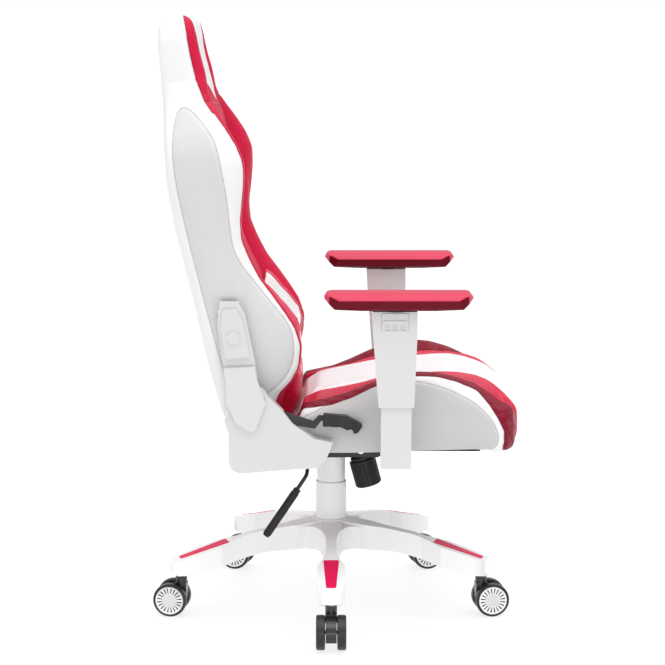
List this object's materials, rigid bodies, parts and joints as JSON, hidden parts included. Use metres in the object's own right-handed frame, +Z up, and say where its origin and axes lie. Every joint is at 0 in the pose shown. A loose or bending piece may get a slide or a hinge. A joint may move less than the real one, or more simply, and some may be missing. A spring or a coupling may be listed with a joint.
{
  "type": "gaming chair",
  "caption": "Racing-style gaming chair: winged reclining backrest, quilted bucket seat, height-adjustable armrests, gas column and a star base on twin-wheel casters.",
  "frame": {"origin": "on the floor, on the axis of the gas column", "axes": "+Z up, -Y towards the front of the chair, -X towards the sitter's right"},
  "size_m": [0.759, 0.753, 1.254],
  "materials": {
    "white_plastic": "satin",
    "white_metal": "satin",
    "crimson_plastic": "satin",
    "black_plastic": "satin",
    "caster_plastic": "gloss",
    "caster_wheel": "satin",
    "black_metal": "satin",
    "bare_steel": "satin",
    "white_leatherette": "satin",
    "crimson_leatherette": "satin",
    "webbing": "matte",
    "arm_padding": "satin"
  },
  "bodies": {
    "base": {"star_base": "white_plastic", "leg_inserts": "crimson_plastic", "gas_cylinder": "black_metal", "lower_cover": "white_plastic"},
    "lift": {"lift_piston": "bare_steel", "upper_cover": "white_plastic"},
    "mechanism": {"mechanism_housing": "black_metal", "tilt_pin": "bare_steel", "tension_spring": "bare_steel"},
    "tension_knob": {"tension_knob": "black_plastic"},
    "lift_lever": {"lift_lever_rod": "black_metal", "lift_lever_grip": "black_plastic"},
    "seat": {"tilt_plate": "black_metal", "seat_frame": "black_metal", "seat_straps": "webbing", "seat_pad": "white_leatherette", "seat_bolster_left": "crimson_leatherette", "seat_bolster_right": "crimson_leatherette", "seat_underside": "webbing", "side_bracket_left": "bare_steel", "side_bracket_right": "bare_steel", "side_cover_left": "white_plastic", "side_cover_right": "white_plastic", "seat_bolts": "bare_steel", "arm_bracket_left": "white_metal", "arm_bracket_right": "white_metal"},
    "recline_lever": {"recline_lever": "black_metal", "recline_grip": "black_plastic"},
    "backrest": {"back_frame": "black_metal", "back_cushion": "crimson_leatherette", "back_bolster_left": "white_leatherette", "back_bolster_right": "white_leatherette", "lumbar_pad": "white_leatherette", "hinge_strap_left": "bare_steel", "hinge_strap_right": "bare_steel", "strap_cover_left": "white_plastic", "strap_cover_right": "white_plastic"},
    "arm_left": {"arm_sleeve_left": "white_plastic"},
    "arm_button_left": {"arm_button_left": "white_plastic"},
    "arm_disc_left": {"arm_disc_left": "black_plastic"},
    "arm_pad_left": {"arm_pad_left": "arm_padding"},
    "arm_right": {"arm_sleeve_right": "white_plastic"},
    "arm_button_right": {"arm_button_right": "white_plastic"},
    "arm_disc_right": {"arm_disc_right": "black_plastic"},
    "arm_pad_right": {"arm_pad_right": "arm_padding"},
    "caster_1": {"caster_fork_1": "caster_plastic"},
    "wheel_1_left": {"wheel_1_left": "caster_wheel"},
    "wheel_1_right": {"wheel_1_right": "caster_wheel"},
    "caster_2": {"caster_fork_2": "caster_plastic"},
    "wheel_2_left": {"wheel_2_left": "caster_wheel"},
    "wheel_2_right": {"wheel_2_right": "caster_wheel"},
    "caster_3": {"caster_fork_3": "caster_plastic"},
    "wheel_3_left": {"wheel_3_left": "caster_wheel"},
    "wheel_3_right": {"wheel_3_right": "caster_wheel"},
    "caster_4": {"caster_fork_4": "caster_plastic"},
    "wheel_4_left": {"wheel_4_left": "caster_wheel"},
    "wheel_4_right": {"wheel_4_right": "caster_wheel"},
    "caster_5": {"caster_fork_5": "caster_plastic"},
    "wheel_5_left": {"wheel_5_left": "caster_wheel"},
    "wheel_5_right": {"wheel_5_right": "caster_wheel"}
  },
  "joints": [
    {"name": "backrest_recline", "type": "hinge", "parent": "seat", "child": "backrest", "pos_m": [0, 0.163, 0.478], "axis": [-1, 0, 0], "range_deg": [-8, 55]},
    {"name": "gas_lift", "type": "slide", "parent": "base", "child": "lift", "axis": [0, 0, 1], "range_m": [0, 0.07]},
    {"name": "seat_swivel", "type": "hinge", "parent": "lift", "child": "mechanism", "pos_m": [0, 0, 0.3], "axis": [0, 0, 1], "continuous": true},
    {"name": "seat_tilt", "type": "hinge", "parent": "mechanism", "child": "seat", "pos_m": [0, -0.062, 0.343], "axis": [-1, 0, 0], "range_deg": [0, 8], "stiffness_Nm_per_rad": 300, "springref_deg": -17.19},
    {"name": "lever_recline", "type": "hinge", "parent": "seat", "child": "recline_lever", "pos_m": [0, 0.163, 0.478], "axis": [-1, 0, 0], "range_deg": [0, 18], "stiffness_Nm_per_rad": 1.5, "springref_deg": -17.19},
    {"name": "lever_lift", "type": "hinge", "parent": "mechanism", "child": "lift_lever", "pos_m": [-0.0605, 0.046, 0.335], "axis": [0, 1, 0], "range_deg": [0, 5], "stiffness_Nm_per_rad": 1, "springref_deg": -11.46},
    {"name": "knob_tension", "type": "hinge", "parent": "mechanism", "child": "tension_knob", "pos_m": [0, -0.064, 0.316], "axis": [0, 0.2588, 0.9659], "continuous": true},
    {"name": "arm_height_left", "type": "slide", "parent": "seat", "child": "arm_left", "axis": [0, 0, 1], "range_m": [0, 0.07]},
    {"name": "arm_button_left", "type": "slide", "parent": "arm_left", "child": "arm_button_left", "axis": [-1, 0, 0], "range_m": [0, 0.003], "stiffness_N_per_m": 300, "springref_m": -0.004},
    {"name": "arm_turn_left", "type": "hinge", "parent": "arm_left", "child": "arm_disc_left", "pos_m": [0.33, -0.127, 0.677], "axis": [0, 0, 1], "range_deg": [-25, 25]},
    {"name": "arm_slide_left", "type": "slide", "parent": "arm_disc_left", "child": "arm_pad_left", "axis": [0, 1, 0], "range_m": [-0.03, 0.03]},
    {"name": "arm_height_right", "type": "slide", "parent": "seat", "child": "arm_right", "axis": [0, 0, 1], "range_m": [0, 0.07]},
    {"name": "arm_button_right", "type": "slide", "parent": "arm_right", "child": "arm_button_right", "axis": [1, 0, 0], "range_m": [0, 0.003], "stiffness_N_per_m": 300, "springref_m": -0.004},
    {"name": "arm_turn_right", "type": "hinge", "parent": "arm_right", "child": "arm_disc_right", "pos_m": [-0.33, -0.127, 0.677], "axis": [0, 0, 1], "range_deg": [-25, 25]},
    {"name": "arm_slide_right", "type": "slide", "parent": "arm_disc_right", "child": "arm_pad_right", "axis": [0, 1, 0], "range_m": [-0.03, 0.03]},
    {"name": "swivel_caster_1", "type": "hinge", "parent": "base", "child": "caster_1", "pos_m": [-0.33, 0, 0.1], "axis": [0, 0, 1], "continuous": true},
    {"name": "wheel_1_left", "type": "hinge", "parent": "caster_1", "child": "wheel_1_left", "pos_m": [-0.35, 0, 0.035], "axis": [0, -1, 0], "continuous": true},
    {"name": "wheel_1_right", "type": "hinge", "parent": "caster_1", "child": "wheel_1_right", "pos_m": [-0.35, 0, 0.035], "axis": [0, -1, 0], "continuous": true},
    {"name": "swivel_caster_2", "type": "hinge", "parent": "base", "child": "caster_2", "pos_m": [-0.10198, -0.31385, 0.1], "axis": [0, 0, 1], "continuous": true},
    {"name": "wheel_2_left", "type": "hinge", "parent": "caster_2", "child": "wheel_2_left", "pos_m": [-0.09919, -0.33365, 0.035], "axis": [0.9903, 0.1392, 0], "continuous": true},
    {"name": "wheel_2_right", "type": "hinge", "parent": "caster_2", "child": "wheel_2_right", "pos_m": [-0.09919, -0.33365, 0.035], "axis": [0.9903, 0.1392, 0], "continuous": true},
    {"name": "swivel_caster_3", "type": "hinge", "parent": "base", "child": "caster_3", "pos_m": [0.26698, -0.19397, 0.1], "axis": [0, 0, 1], "continuous": true},
    {"name": "wheel_3_left", "type": "hinge", "parent": "caster_3", "child": "wheel_3_left", "pos_m": [0.27215, -0.21329, 0.035], "axis": [0.9659, 0.2588, 0], "continuous": true},
    {"name": "wheel_3_right", "type": "hinge", "parent": "caster_3", "child": "wheel_3_right", "pos_m": [0.27215, -0.21329, 0.035], "axis": [0.9659, 0.2588, 0], "continuous": true},
    {"name": "swivel_caster_4", "type": "hinge", "parent": "base", "child": "caster_4", "pos_m": [0.26698, 0.19397, 0.1], "axis": [0, 0, 1], "continuous": true},
    {"name": "wheel_4_left", "type": "hinge", "parent": "caster_4", "child": "wheel_4_left", "pos_m": [0.27215, 0.21329, 0.035], "axis": [-0.9659, 0.2588, 0], "continuous": true},
    {"name": "wheel_4_right", "type": "hinge", "parent": "caster_4", "child": "wheel_4_right", "pos_m": [0.27215, 0.21329, 0.035], "axis": [-0.9659, 0.2588, 0], "continuous": true},
    {"name": "swivel_caster_5", "type": "hinge", "parent": "base", "child": "caster_5", "pos_m": [-0.10198, 0.31385, 0.1], "axis": [0, 0, 1], "continuous": true},
    {"name": "wheel_5_left", "type": "hinge", "parent": "caster_5", "child": "wheel_5_left", "pos_m": [-0.09919, 0.33365, 0.035], "axis": [-0.9903, 0.1392, 0], "continuous": true},
    {"name": "wheel_5_right", "type": "hinge", "parent": "caster_5", "child": "wheel_5_right", "pos_m": [-0.09919, 0.33365, 0.035], "axis": [-0.9903, 0.1392, 0], "continuous": true}
  ]
}
